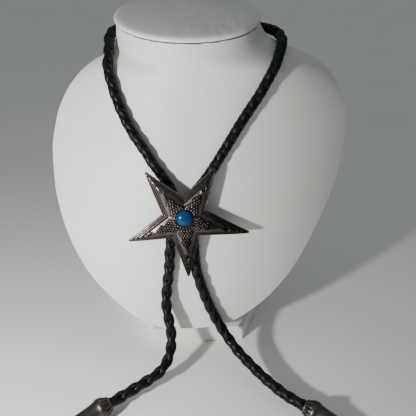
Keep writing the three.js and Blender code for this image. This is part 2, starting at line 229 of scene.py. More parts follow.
def catmull_rom(points, step):
    """Points a step apart on the centripetal curve through the given ones, and its length."""
    p = np.asarray(points, float)
    p = np.vstack([2 * p[0] - p[1], p, 2 * p[-1] - p[-2]])
    out = []
    t = np.linspace(0, 1, SPANS, endpoint=False)[:, None]
    for i in range(1, len(p) - 2):
        a, b, c, d = p[i - 1:i + 3]
        d0, d1, d2 = (max(np.linalg.norm(v) ** 0.5, 1e-6) for v in (b - a, c - b, d - c))
        m1 = ((b - a) / d0 - (c - a) / (d0 + d1) + (c - b) / d1) * d1
        m2 = ((c - b) / d1 - (d - b) / (d1 + d2) + (d - c) / d2) * d1
        out.append((2 * t**3 - 3 * t**2 + 1) * b + (t**3 - 2 * t**2 + t) * m1
                   + (3 * t**2 - 2 * t**3) * c + (t**3 - t**2) * m2)
    out = np.vstack(out + [p[-2][None]])
    along = np.r_[0, np.cumsum(np.linalg.norm(np.diff(out, axis=0), axis=1))]
    count = max(int(round(along[-1] / step)), 2)
    even = np.linspace(0, along[-1], count + 1)
    return np.stack([np.interp(even, along, out[:, k]) for k in range(3)], axis=1), along[-1]


def unit(v):
    return v / np.linalg.norm(v, axis=-1, keepdims=True)


def round_turn(count):
    """Angles evenly round a whole turn."""
    return np.linspace(0, 2 * math.pi, count, endpoint=False)


def sides_along(centre):
    """Two directions across a curve at each of its points, turning as little as possible."""
    tangent = unit(np.gradient(centre, axis=0))
    normal = np.zeros_like(centre)
    normal[0] = unit(np.cross(tangent[0], (0.0, 0.0, 1.0)))
    for i in range(1, len(centre)):
        normal[i] = unit(normal[i - 1] - tangent[i] * np.dot(normal[i - 1], tangent[i]))
    return normal, np.cross(tangent, normal)


def tube_faces(rows, sides, start):
    """The faces of a tube through rings of points, with one flat face at each end."""
    index, faces = grid(rows, sides, start)
    return faces + [tuple(index[0][::-1]), tuple(index[-1])]


# ------------------------------------------------------------------ the braid
LAY = 0.0145                      # length in which a strand goes once round
STRAND_MID = 0.00200              # radius that the strands weave about
STRAND_WEAVE = 0.00024            # how far they go out and in from it
STRAND_THICK = 0.00104
STRAND_HALF_TURN = math.radians(68)   # half a strand's width, as an angle about the cord
STRAND_CROWN = 0.00034            # how much higher its middle is than its edges
STRAND_ROUND = (0.8, 0.55)        # powers that round its section, across and up
STRAND_SIDES = 14
STRAND_STEP = 0.0006
CORE_RADIUS = 0.0015
CORE_SIDES = 8
TAIL_SWELL = 1.07                 # the cord's free ends are a little looser and thicker


def powered(v, power):
    return np.sign(v) * np.abs(v) ** power


def strand_section():
    """A flat strand's section: each point's angle about the cord, and its rise."""
    phi = round_turn(STRAND_SIDES)
    aside = powered(np.sin(phi), STRAND_ROUND[0]) * STRAND_HALF_TURN
    rise = powered(np.cos(phi), STRAND_ROUND[1]) * STRAND_THICK / 2
    return aside, rise - STRAND_CROWN * (aside / STRAND_HALF_TURN) ** 2


def braid(name, centre, twist, swell):
    """Four flat strands woven round a core: two turn one way and two the other."""
    normal, binormal = (side[:, None] for side in sides_along(centre))
    along = np.r_[0, np.cumsum(np.linalg.norm(np.diff(centre, axis=0), axis=1))]
    verts, faces = [], []

    def add(radius, angle):
        out = normal * np.cos(angle)[..., None] + binormal * np.sin(angle)[..., None]
        points = centre[:, None] + out * radius[..., None] * swell
        faces.extend(tube_faces(len(points), points.shape[1], sum(len(v) for v in verts)))
        verts.append(points.reshape(-1, 3))

    aside, rise = strand_section()
    turned = 2 * math.pi * along[:, None] / LAY
    for direction in (1, -1):
        for phase in (0.0, math.pi):
            weave = direction * STRAND_WEAVE * np.cos(2 * turned + direction * aside[None])
            add(STRAND_MID + weave + rise[None], twist + phase + direction * turned + aside[None])
    turn = np.broadcast_to(round_turn(CORE_SIDES)[None], (len(centre), CORE_SIDES))
    add(np.full(turn.shape, CORE_RADIUS), turn)
    return add_object(name, np.vstack(verts), faces, smooth_angle=180)


def tip_way(tip):
    """Which way a tip points, from its mouth to its rounded end."""
    droop, turn = math.radians(TIP_DROOP), math.radians(tip["heading"])
    level = math.cos(droop)
    return np.array([level * math.cos(turn), level * math.sin(turn), -math.sin(droop)])


def into_tip(route, tip):
    """A cord's route with its last stretch, in at the tip's mouth."""
    mouth = np.array(tip["mouth"])
    return list(route) + [tuple(mouth), tuple(mouth + tip_way(tip) * TIP_GRIP)]


# ------------------------------------------------------------- the cord's tips
# Distance from the mouth, radius and flute depth in millimetres, from the rounded end to the
# mouth and then back into its bore.
TIP_PROFILE = [
    (42.0, 0.0, 0.0), (41.96, 0.5, 0.0), (41.8, 1.1, 0.0), (41.4, 1.8, 0.0), (40.8, 2.35, 0.0),
    (40.0, 2.75, 0.0), (39.0, 3.0, 0.0), (38.0, 3.12, 0.0), (36.6, 3.2, 0.0), (36.2, 3.36, 0.0),
    (35.8, 3.36, 0.0), (35.4, 3.22, 0.0), (30.0, 3.32, 0.0), (24.0, 3.45, 0.0), (18.0, 3.62, 0.0),
    (14.0, 3.8, 0.0), (10.0, 4.1, 0.0), (8.0, 4.35, 0.0), (6.6, 4.62, 0.0), (6.2, 4.9, 0.0),
    (5.8, 5.1, 0.0), (5.2, 5.2, 0.0), (4.6, 5.18, 0.0), (4.2, 5.05, 0.05), (3.9, 5.02, 0.3),
    (3.5, 5.05, 0.42), (3.0, 4.9, 0.45), (2.4, 4.6, 0.45), (1.8, 4.25, 0.42), (1.3, 3.95, 0.36),
    (0.9, 3.72, 0.2), (0.75, 3.7, 0.0), (0.5, 3.72, 0.0), (0.2, 3.6, 0.0), (0.0, 3.35, 0.0),
    (0.05, 2.9, 0.0), (0.5, 2.56, 0.0), (8.0, 2.55, 0.0), (8.0, 1.2, 0.0),
]
TIP_FLUTES = 14
TIP_SIDES = 112
FLUTE_POWER = 1.6                 # above 1, so that the flutes are narrower than the ribs
RIB_PATINA = 0.3
FLUTE_FULL = 0.7                  # a flute's depth that would add a whole 1 of patina
BORE_RADIUS, BORE_DEPTH = 2.95, 9.0    # a row within these is inside the mouth
BORE_PATINA, PLAIN_PATINA = 0.75, 0.2


def tip_patina(along, radius, flute, groove):
    if flute:
        return RIB_PATINA + flute / FLUTE_FULL * groove
    inside = radius < BORE_RADIUS and along < BORE_DEPTH
    return np.full(len(groove), BORE_PATINA if inside else PLAIN_PATINA)


def make_tip(name):
    """A turned tip with a fluted mouth, hollow where the cord goes in."""
    tip = TIPS[name]
    way = tip_way(tip)
    across = unit(np.cross(way, (0.0, 0.0, 1.0)))
    up = np.cross(across, way)
    turn = -round_turn(TIP_SIDES)[:, None]
    out = across * np.cos(turn) + up * np.sin(turn)
    groove = (0.5 + 0.5 * np.cos(TIP_FLUTES * turn)) ** FLUTE_POWER
    rings, shades = [], []
    for along, radius, flute in TIP_PROFILE:
        rings.append(np.array(tip["mouth"]) + (way * along + out * (radius - flute * groove)) * MM)
        shades.append(tip_patina(along, radius, flute, groove[:, 0]))
    verts, faces = loft(rings)
    shade = np.r_[np.concatenate(shades), 0.1, 1.0]
    return add_object(name + "_metal", verts, faces, smooth_angle=40, attribute=("patina", shade))


# -------------------------------------------------------------------- the bust
BODY_ARC = 64                     # points along the front, and as many along the back
BODY_RINGS = 110
RING_CROWDING = 0.12              # the rings are closer together near both ends


def body_at(z):
    """Every column at the heights z: a cubic through the rows that doesn't overshoot."""
    x = BODY_ROWS[:, 0]
    h = np.diff(x)
    i = np.clip(np.searchsorted(x, z, side="left") - 1, 0, len(h) - 1)
    t = (z - x[i]) / h[i]
    columns = {}
    for name, y in zip(BODY_COLUMNS, BODY_ROWS.T):
        slope = np.diff(y) / h
        before = np.r_[slope[0], slope]
        after = np.r_[slope, slope[-1]]
        both = before * after > 0
        tangent = np.where(both, 2 * before * after / np.where(both, before + after, 1), 0)
        columns[name] = ((1 + 2 * t) * (1 - t) ** 2 * y[i] + t * t * (3 - 2 * t) * y[i + 1]
                         + t * (1 - t) ** 2 * h[i] * tangent[i]
                         + t * t * (t - 1) * h[i] * tangent[i + 1])
    return columns


def body_rings(z):
    """Rings round the bust at the heights z, from its left edge over the front."""
    v = {name: column[:, None] for name, column in body_at(np.atleast_1d(z)).items()}
    slope = np.tan(np.radians(v["tilt"]))
    turn = np.pi * np.arange(BODY_ARC)[None] / BODY_ARC

    def arc(across, far, power):
        y = v["side"] + (v[far] - v["side"]) * (1 - np.abs(across) ** power) ** v["edge"]
        x = v["middle"] + across * v["half"]
        return np.stack(np.broadcast_arrays(x, y, v["z"] + (y - v["side"]) * slope), axis=-1)

    front = arc(-np.cos(turn), "front", CHEST_CURVE)
    back = arc(np.cos(turn), "back", BACK_CURVE)
    return np.concatenate([front, back], axis=1)


SEAM_SHADE_WIDTH, SEAM_SHADE_VARIES = 0.42, 0.3    # of the dark line under the pad: the seam, with painted shade of the gap under the pad's edge
PUCKER_SEED = 7
PUCKER_WAVES = (17, 23, 31, 43)   # round the seam


def puckers(count):
    """How far out the pad's sewn edge is, unevenly round it, about -1 to 1."""
    rng = np.random.default_rng(PUCKER_SEED)
    turn = round_turn(count)
    waves = 0
    for wave in PUCKER_WAVES:
        height = rng.uniform(0.4, 1.0)
        waves = waves + height * np.sin(wave * turn + rng.uniform(0, 6.28))
    return waves / 2


def make_bust():
    """The body's skin, whose topmost stretch is the dark line under the cap's pad: the seam,
    painted darker as the shade in the gap under the pad's edge.
    """
    low, high = BODY_ROWS[0, 0], BODY_ROWS[-1, 0]
    t = np.linspace(0, 1, BODY_RINGS)
    z = low + (high - low) * (t - RING_CROWDING * np.sin(2 * np.pi * t))
    rings = body_rings(z)
    verts, faces = loft(rings * MM)
    width = SEAM_SHADE_WIDTH + SEAM_SHADE_VARIES * puckers(rings.shape[1])
    # the rings of the seam line, painted dark as the joint and as the shade in the gap under the
    # pad
    seam_and_shade = (high - z)[:, None] < width[None]
    shade = np.r_[seam_and_shade.ravel().astype(float), 0.0, 1.0]
    return add_object("bust_skin", verts, faces, smooth_angle=50, attribute=("seam_and_shade", shade))


CAP_PROFILE = [                   # share of the neck's outline and lift, from the seam up
    (0.955, -0.15), (0.985, 0.0), (1.004, 0.12), (1.017, 0.35), (1.025, 0.7), (1.028, 1.1),
    (1.025, 1.5), (1.015, 1.88), (0.999, 2.18), (0.976, 2.4), (0.945, 2.55), (0.9, 2.7),
    (0.82, 2.92), (0.7, 3.18), (0.55, 3.44), (0.38, 3.64), (0.2, 3.76), (0.08, 3.8),
]
CAP_GAP = 0.3                     # between the neck and the pad
SEAM_SHADE_TOP = 0.2                    # how far up the pad the dark line, painted shade of the gap under its edge, goes
PUCKER_DEPTH = 0.0026             # share of the neck's outline
PUCKER_AT, PUCKER_REACH = 0.5, 1.1    # the lift where the puckers are deepest, and their reach
PAD_SIDE = 0.94                   # the pad's side is where its profile is wider than this


def make_cap():
    """The pad on the neck's slanting top, puckered along its seam, with its lowest strip painted
    dark as the seam and the shade in the gap under it.
    """
    neck = body_rings(BODY_ROWS[-1, 0])[0]
    v = dict(zip(BODY_COLUMNS, BODY_ROWS[-1]))
    middle = np.array([v["middle"], v["side"], v["z"]])
    tilt = math.radians(v["tilt"])
    up = np.array([0, -math.sin(tilt), math.cos(tilt)])
    pucker = PUCKER_DEPTH * puckers(len(neck))[:, None]
    rings, shades = [], []
    for share, lift in CAP_PROFILE:
        near_seam = max(0.0, 1 - abs(lift - PUCKER_AT) / PUCKER_REACH) if share > PAD_SIDE else 0.0
        ring = middle + (neck - middle) * (share + near_seam * pucker)
        rings.append(ring + up * (lift + CAP_GAP))
        # the lowest strip is painted dark: the seam and the shade under the pad's edge
        shades.append(np.full(len(neck), 1.0 if lift < SEAM_SHADE_TOP else 0.0))
    verts, faces = loft(np.array(rings) * MM)
    shade = np.r_[np.concatenate(shades), 1.0, 0.0]
    return add_object("cap_pad", verts, faces, smooth_angle=60, attribute=("seam_and_shade", shade))


# ---------------------------------------------------------------------- the foot
FOOT_BOARD = [(-27.8, -27.0), (22.0, -27.0), (53.1, 41.4), (-58.9, 41.4)]
FOOT_HEIGHT = 9.9
UPRIGHT = [(-21.0, -20.0), (9.0, -20.0), (9.0, 0.0), (-21.0, 0.0)]
UPRIGHT_TOP = [(-21.0, -15.0), (9.0, -15.0), (9.0, 0.0), (-21.0, 0.0)]
UPRIGHT_FROM, UPRIGHT_TO = 5.0, 60.0
FOOT_ROUND = 0.7


def bevelled(name, prisms, width, segments):
    """Closed prisms in one mesh, with their edges rounded. A prism is its two end rings."""
    bm = bmesh.new()
    for low, high in prisms:
        bottom = [bm.verts.new(p) for p in low]
        top = [bm.verts.new(p) for p in high]
        bm.faces.new(bottom[::-1])
        bm.faces.new(top)
        for i in range(len(low)):
            j = (i + 1) % len(low)
            bm.faces.new((bottom[i], bottom[j], top[j], top[i]))
    bmesh.ops.bevel(bm, geom=list(bm.edges), offset=width, segments=segments, profile=0.6,
                    affect="EDGES", clamp_overlap=True)
    bmesh.ops.recalc_face_normals(bm, faces=list(bm.faces))
    mesh = bpy.data.meshes.new(name)
    bm.to_mesh(mesh)
    bm.free()
    mesh.shade_smooth()
    mesh.set_sharp_from_angle(angle=math.radians(50))
    obj = bpy.data.objects.new(name, mesh)
    bpy.context.scene.collection.objects.link(obj)
    return obj


def ring_at(corners, z):
    return [Vector((x * MM, y * MM, z * MM)) for x, y in corners]


def make_foot():
    """A board whose back is wider than its front, and an upright that leans back into the bust."""
    board = (ring_at(FOOT_BOARD, 0.0), ring_at(FOOT_BOARD, FOOT_HEIGHT))
    upright = (ring_at(UPRIGHT, UPRIGHT_FROM), ring_at(UPRIGHT_TOP, UPRIGHT_TO))
    return bevelled("foot_cover", [board, upright], FOOT_ROUND * MM, segments=4)


# ------------------------------------------------------------------- the slide
SLIDE_AT = np.array([-9.5, -33.7, 84.85])
SLIDE_LEAN = math.radians(8.6)
SLIDE_SWING = math.radians(2.4)   # its right side is a little further back
STAR_MIDDLE = np.array([0.3, -1.3])    # the star's middle from the stone's
STAR_POINTS = ((33.3, 1.9), (34.9, 1.5), (29.8, 4.4), (30.8, 1.5), (31.0, 3.2))   # reach, turn
STAR_NOTCH = 11.2                 # from the middle to the corners between the arms
NOTCH_TURN = math.radians(3.0)
STAR_DROP, STAR_DROP_AT = 2.3, 31.8    # how far the star bends back at a distance from its middle
POINT_ROUND = 0.6
POINT_STEPS = 7
STAR_INNER = 8.9                  # centre to the line of an edge
STAR_LEVEL = 8.5                  # how far in from its edge the face's rings go
EDGE_STEPS = 70
RING_STEP = 0.135
STAR_BACK = ((0.1, 0.0), (0.4, 0.0), (0.7, 0.0), (0.955, 0.0), (0.985, 0.08), (1.0, 0.35))
STONE_RADIUS = 4.1
STONE_BASE = 2.9                  # height of the stone's seat over the star's back
BORDER = [                        # offset in from the star's edge, height, patina
    (0.0, 0.85, 0.3), (0.1, 1.1, 0.05), (0.3, 1.27, 0.0), (0.48, 1.3, 0.1), (0.62, 1.16, 0.9),
    (0.76, 1.2, 0.8), (0.9, 1.5, 0.1), (1.08, 1.6, 0.0), (1.24, 1.6, 0.2), (1.36, 1.48, 0.9),
    (1.5, 1.58, 0.6), (1.66, 1.86, 0.05), (1.86, 1.97, 0.0), (2.0, 1.98, 0.3), (2.12, 1.92, 1.0),
    (2.24, 2.12, 0.7), (2.36, 2.4, 0.2), (2.5, 2.62, 0.0), (2.7, 2.75, 0.0), (2.95, 2.87, 0.0),
    (3.3, 3.02, 0.0), (3.7, 3.18, 0.0), (4.1, 3.34, 0.05), (4.5, 3.49, 0.2), (5.0, 3.65, 0.4),
    (5.6, 3.78, 0.5), (6.2, 3.85, 0.5), (8.9, 3.9, 0.5),
]
TARNISH_AND_SHADE = (0.31, 0.20, -0.24)     # at the arms: tarnish everywhere, and painted shade away from the light: more to the right, less upwards
TARNISH_AND_SHADE_FULL = 15.0               # how far out it is full
DOTS_FROM, DOTS_TO = 5.2, 14.2    # up each arm
DOTS_HALF, DOTS_TAPER = 3.3, 2.5  # how far they go to each side, and the power that tapers it
DOTS_APART = 0.2                  # from the line between one arm's dots and the next one's
DOTS_ROUND, DOTS_ROUND_AT = 22, 5.0    # in a ring round the stone
DOTS_CLEAR = 4.9                  # no dot's middle is nearer to the stone's
DOT_PITCH = 1.42
DOT_ROW = 0.84                    # a row's distance from the next, in pitches
DOT_RADIUS = 0.56
DOT_HEIGHT, DOT_ROUND = 0.37, 0.6
DOT_IN = 2.9                      # no dot shows nearer to the star's edge
GROUND_SINK, GROUND_DARK = 0.1, 0.78   # between the dots: how much lower, and its patina
GROUND_REACH, GROUND_FADE = 0.9, 0.35  # from a dot, in pitches
GROUND_IN, GROUND_IN_FADE = 3.1, 0.3   # from the star's edge
DOT_WORN = 0.7                    # the share of the patina that is worn off a dot's top
DOTS_AT_ONCE = 40                 # measured together, to save memory
EYE_AT = 0.585                    # share of an arm's reach
EYE_LONG, EYE_WIDE, EYE_LINE, EYE_PUPIL = 1.6, 1.05, 0.3, 0.3
EYE_RISE, EYE_SINK, EYE_DARK = 0.26, 0.14, 0.8
DITCH_REACH = 1.5                 # in ellipses, as wide as the eye's own
COLLAR_AT, COLLAR_HALF, COLLAR_RISE = 0.32, 0.24, 0.3    # out from the stone's edge
COLLAR_WORN = 0.4                 # the share of the patina that is worn off it
SEAT_OUT, SEAT_DARK_OUT = 0.05, 0.12   # how far the seat and its dark go past that edge


def slide_to_row(p):
    """From the slide's own frame (across, up the star, out of its face; mm) to the row's (m)."""
    x, y, h = p[..., 0], p[..., 1], p[..., 2]
    back = y * math.sin(SLIDE_LEAN) - h * math.cos(SLIDE_LEAN)
    out = np.stack([
        SLIDE_AT[0] + x * math.cos(SLIDE_SWING) - back * math.sin(SLIDE_SWING),
        SLIDE_AT[1] + x * math.sin(SLIDE_SWING) + back * math.cos(SLIDE_SWING),
        SLIDE_AT[2] + h * math.sin(SLIDE_LEAN) + y * math.cos(SLIDE_LEAN),
    ], axis=-1)
    return out * MM


def star_to_slide(points, height):
    """Bend the star's points back, and set its middle where it is on the slide."""
    drop = STAR_DROP * (distance(points) / STAR_DROP_AT) ** 3
    return np.column_stack([points + STAR_MIDDLE, height - drop])


def on_circle(radius, angle):
    """A point at a radius and an angle from the middle."""
    return np.array([radius * math.cos(angle), radius * math.sin(angle)])


def distance(points):
    """How far each point is from the middle."""
    return np.hypot(points[:, 0], points[:, 1])


def hump(x):
    """1 in the middle, falling to 0 one unit away."""
    return np.clip(1 - x ** 2, 0, 1)


def arm_angle(k):
    """An arm's angle before it is turned. The first one points down."""
    return -math.pi / 2 + 2 * math.pi / len(STAR_POINTS) * k


def star_arms():
    """Each arm's way from the star's middle, the way across it, and how far its point reaches."""
    for k, (reach, turned) in enumerate(STAR_POINTS):
        along = on_circle(1, arm_angle(k) + math.radians(turned))
        yield along, np.array([-along[1], along[0]]), reach


def star_outline():
    """The outline from point to point, with each point rounded and its long edges finely cut."""
    half = math.pi / len(STAR_POINTS)
    points = []

    def edge_to(corner):
        start = points[-1]
        for i in range(1, EDGE_STEPS + 1):
            points.append(start + (corner - start) * i / EDGE_STEPS)

    for k, (reach, turned) in enumerate(STAR_POINTS):
        arm = arm_angle(k) + math.radians(turned)
        sharp = math.atan2(STAR_NOTCH * math.sin(half), reach - STAR_NOTCH * math.cos(half))
        centre = on_circle(reach - POINT_ROUND / math.sin(sharp), arm)
        turns = np.linspace(-1, 1, POINT_STEPS) * (math.pi / 2 - sharp)
        rounded = [centre + on_circle(POINT_ROUND, arm + turn) for turn in turns]
        if points:
            edge_to(rounded[0])
        else:
            points.append(rounded[0])
        points.extend(rounded[1:])
        edge_to(on_circle(STAR_NOTCH, arm_angle(k) + half + NOTCH_TURN))
    edge_to(points[0])
    return np.array(points[:-1])


def dot_places():
    """Staggered rows of dots up each arm, and a ring of them round the stone."""
    dots = []
    for along, across, _ in star_arms():
        for row, u in enumerate(np.arange(DOTS_FROM, DOTS_TO, DOT_PITCH * DOT_ROW)):
            taper = DOTS_HALF * (1 - (u / DOTS_TO) ** DOTS_TAPER)
            room = min(taper, u * math.tan(math.pi / len(STAR_POINTS)) - DOTS_APART)
            v = 0.0 if row % 2 else DOT_PITCH / 2
            while v <= max(room, 0):
                dots.append(along * u + across * v)
                if v > 0:
                    dots.append(along * u - across * v)
                v += DOT_PITCH
    dots += [on_circle(DOTS_ROUND_AT, turn) - STAR_MIDDLE for turn in round_turn(DOTS_ROUND)]
    dots = np.array(dots)
    return dots[distance(dots + STAR_MIDDLE) > DOTS_CLEAR]


def nearest(points, dots):
    """Each point's distance from the nearest dot."""
    parts = []
    for start in range(0, len(dots), DOTS_AT_ONCE):
        some = dots[start:start + DOTS_AT_ONCE]
        parts.append(np.hypot(points[:, None, 0] - some[None, :, 0],
                              points[:, None, 1] - some[None, :, 1]).min(1))
    return np.min(parts, axis=0)


def add_dots(points, offset, height, patina):
    """Raised dots on a sunk and darker ground."""
    near = nearest(points, dot_places())
    ground = np.clip((GROUND_REACH - near / DOT_PITCH) / GROUND_FADE, 0, 1)
    ground = ground * np.clip((offset - GROUND_IN) / GROUND_IN_FADE, 0, 1)
    dot = hump(near / DOT_RADIUS) ** DOT_ROUND * (offset > DOT_IN)
    height = height - GROUND_SINK * ground + DOT_HEIGHT * dot
    return height, np.maximum(patina, GROUND_DARK * ground) * (1 - DOT_WORN * dot)


def add_eyes(points, height, patina):
    """An eye on each arm: a raised ellipse round a raised pupil, with a dark ditch about them."""
    for along, across, reach in star_arms():
        u, v = points @ along - EYE_AT * reach, points @ across
        ellipse = np.hypot(u / EYE_LONG, v / EYE_WIDE)
        line = hump((ellipse - 1) * EYE_WIDE / EYE_LINE)
        raised = np.maximum(line, hump(np.hypot(u, v) / EYE_PUPIL))
        ditch = np.clip(DITCH_REACH - ellipse, 0, 1) * (1 - raised)
        height = height + EYE_RISE * raised - EYE_SINK * ditch
        patina = np.maximum(patina * (1 - line), EYE_DARK * ditch)
    return height, patina


def add_seat(points, height, patina):
    """The stone's seat, with a raised collar round it."""
    out = distance(points + STAR_MIDDLE) - STONE_RADIUS
    collar = hump((out - COLLAR_AT) / COLLAR_HALF)
    patina = np.where(out < SEAT_DARK_OUT, 1.0, patina * (1 - COLLAR_WORN * collar))
    return np.where(out < SEAT_OUT, STONE_BASE, height + COLLAR_RISE * collar), patina


def add_tarnish_and_shade(points, patina):
    """More patina towards the points, and painted shade that makes it most at the right and below,
    away from the light.
    """
    far = distance(points)
    way = points / (far[:, None] + 1e-6)
    # the second and third terms paint shade on the sides turned away from the light
    tarnish_and_shade = TARNISH_AND_SHADE[0] + TARNISH_AND_SHADE[1] * way[:, 0] + TARNISH_AND_SHADE[2] * way[:, 1]
    return np.clip(patina + tarnish_and_shade * np.clip(far / TARNISH_AND_SHADE_FULL, 0, 1) ** 2, 0, 1.1)


def star_surface(points, offset):
    """Height and patina of the star's face at points that are so far in from its edge; the patina
    also holds painted shade on the right and lower arms.
    """
    places, heights, patinas = np.array(BORDER).T
    height = np.full(len(points), np.interp(offset, places, heights))
    patina = np.full(len(points), np.interp(offset, places, patinas))
    height, patina = add_dots(points, offset, height, patina)
    height, patina = add_eyes(points, height, patina)
    height, patina = add_seat(points, height, patina)
    return height, add_tarnish_and_shade(points, patina)


def make_star():
    """Rings from the middle of the back to the edge, then over the face to its middle."""
    outline = star_outline()
    rings = [star_to_slide(outline * share, height) for share, height in STAR_BACK]
    shades = [np.full(len(outline), 0.5) for _ in STAR_BACK]
    for offset in np.arange(0, STAR_LEVEL, RING_STEP):
        points = outline * (1 - offset / STAR_INNER)
        # the patina also holds painted shade on the right and lower arms
        height, patina = star_surface(points, offset)
        rings.append(star_to_slide(points, height))
        shades.append(patina)
    verts, faces = loft(slide_to_row(np.array(rings)))
    shade = np.r_[np.concatenate(shades), 0.5, 1.0]
    return add_object("star_face", verts, faces, smooth_angle=35, attribute=("patina", shade))


CLIP_HALF_LENGTH = 4.5            # along the cords
CLIP_BACK = (-5.4, -4.9)          # its heights over the star's back, so below 0
CLIP_WALLS = (-5.1, 0.4)          # from in the plate to in the star
CLIP_PARTS = [                    # from and to across, and its heights
    (-7.9, 7.9, CLIP_BACK), (-7.9, -6.75, CLIP_WALLS), (6.75, 7.9, CLIP_WALLS),
    (-1.25, 1.25, CLIP_WALLS),
]
CLIP_ROUND = 0.15
STONE_SIDES = 72
STONE_EDGE = [(0.0, 0.98), (0.15, 1.0), (0.5, 1.0)]    # lift, share of its radius
STONE_DOME, STONE_ROUND = 2.75, 0.92


def make_clip():
    """A plate behind the star, on three walls, with a channel for each length of cord."""
    def block(left, right, heights):
        reach = CLIP_HALF_LENGTH
        corners = np.array([(left, -reach), (right, -reach), (right, reach), (left, reach)])
        return [[Vector(p) for p in slide_to_row(np.column_stack([corners, np.full(4, height)]))]
                for height in heights]

    blocks = [block(*part) for part in CLIP_PARTS]
    return bevelled("slide_clip", blocks, CLIP_ROUND * MM, segments=3)


def make_stone():
    """A low dome on a short straight edge."""
    turn = round_turn(STONE_SIDES)
    circle = STONE_RADIUS * np.column_stack([np.cos(turn), np.sin(turn)])
    rows = list(STONE_EDGE)
    for angle in np.radians(np.arange(8, 90, 5.5)):
        lift = STONE_EDGE[-1][0] + STONE_DOME * math.sin(angle)
        rows.append((lift, math.cos(angle) ** STONE_ROUND))
    rings = [np.column_stack([circle * share, np.full(len(turn), STONE_BASE + lift)])
             for lift, share in rows]
    verts, faces = loft(slide_to_row(np.array(rings)))
    return add_object("cabochon", verts, faces, smooth_angle=60)


# ------------------------------------------------------------------- materials
# Colours are linear. A noise's or a cell pattern's scale is how many fit in a metre.
LEATHERETTE, FOOT_LEATHERETTE = (0.80, 0.80, 0.785), (0.79, 0.79, 0.775)
LEATHERETTE_WARM = (1.0, 0.985, 0.955)    # what its warmer patches keep of its colour
# The seam line's colour: a dark joint, with painted shade of the gap under the cap's pad.
SEAM_AND_SHADE_COLOUR = (0.24, 0.24, 0.243)
CAP_FOLDS = 0.0024                # metres
FOLD_STRETCH, FOLD_TURN = (1.0, 0.16, 1.0), math.radians(-35)
LEATHER_COLOURS = ((0.0036, 0.0050, 0.0062), (0.0078, 0.0100, 0.0118))
GUNMETAL_COLOURS = ((0.110, 0.102, 0.092), (0.022, 0.020, 0.018))    # bright, dark
SILVER_COLOURS = ((0.162, 0.139, 0.129), (0.012, 0.010, 0.0093))
STONE_COLOURS = ((0.001, 0.034, 0.100), (0.0015, 0.058, 0.150))
STONE_VEIN = (0.005, 0.032, 0.085)
FLOOR_COLOURS = ((0.86, 0.865, 0.84), (0.895, 0.90, 0.875))


class Nodes:
    """A short way to write a node material."""

    def __init__(self, name):
        self.material = bpy.data.materials.new(name)
        self.material.use_nodes = True
        self.tree = self.material.node_tree
        self.shader = self.tree.nodes["Principled BSDF"]
        self.coordinates = self.add("ShaderNodeTexCoord").outputs["Object"]

    def add(self, kind, **settings):
        node = self.tree.nodes.new(kind)
        for key, value in settings.items():
            setattr(node, key, value)
        return node

    def link(self, a, b):
        self.tree.links.new(a, b)

    def set(self, **values):
        for key, value in values.items():
            self.shader.inputs[key.replace("_", " ")].default_value = value

    def noise(self, scale, detail, roughness=0.5, distortion=0.0, where=None):
        node = self.add("ShaderNodeTexNoise")
        node.inputs["Scale"].default_value = scale
        node.inputs["Detail"].default_value = detail
        node.inputs["Roughness"].default_value = roughness
        node.inputs["Distortion"].default_value = distortion
        self.link(where or self.coordinates, node.inputs["Vector"])
        return node.outputs["Fac"]

    def stretched(self, scale, turn):
        """The coordinates, scaled along each axis and turned about the vertical."""
        node = self.add("ShaderNodeMapping")
        node.inputs["Scale"].default_value = scale
        node.inputs["Rotation"].default_value = (0.0, 0.0, turn)
        self.link(self.coordinates, node.inputs["Vector"])
        return node.outputs["Vector"]

    def cells(self, scale):
        node = self.add("ShaderNodeTexVoronoi")
        node.inputs["Scale"].default_value = scale
        self.link(self.coordinates, node.inputs["Vector"])
        return node.outputs["Distance"]

    def range(self, source, low, high, start, end):
        """From low to high, while the source goes from start to end."""
        node = self.add("ShaderNodeMapRange")
        node.inputs["From Min"].default_value = start
        node.inputs["From Max"].default_value = end
        node.inputs["To Min"].default_value = low
        node.inputs["To Max"].default_value = high
        self.link(source, node.inputs["Value"])
        return node.outputs["Result"]

    def maths(self, operation, a, b):
        node = self.add("ShaderNodeMath", operation=operation)
        for socket, value in zip(node.inputs, (a, b)):
            if isinstance(value, (int, float)):
                socket.default_value = value
            else:
                self.link(value, socket)
        return node.outputs[0]

    def mix(self, factor, a, b):
        node = self.add("ShaderNodeMix", data_type="RGBA")
        self.link(factor, node.inputs["Factor"])
        for socket, value in ((node.inputs["A"], a), (node.inputs["B"], b)):
            if isinstance(value, tuple):
                socket.default_value = (*value, 1.0)
            else:
                self.link(value, socket)
        return node.outputs["Result"]

    def bump(self, source, distance, strength, before=None):
        """A bump of a depth in metres, over the bump before it."""
        node = self.add("ShaderNodeBump")
        node.inputs["Strength"].default_value = strength
        node.inputs["Distance"].default_value = distance
        self.link(source, node.inputs["Height"])
        if before is not None:
            self.link(before, node.inputs["Normal"])
        return node.outputs["Normal"]

    def attribute(self, name):
        return self.add("ShaderNodeAttribute", attribute_name=name).outputs["Fac"]

    def to(self, socket, source):
        self.link(source, self.shader.inputs[socket])


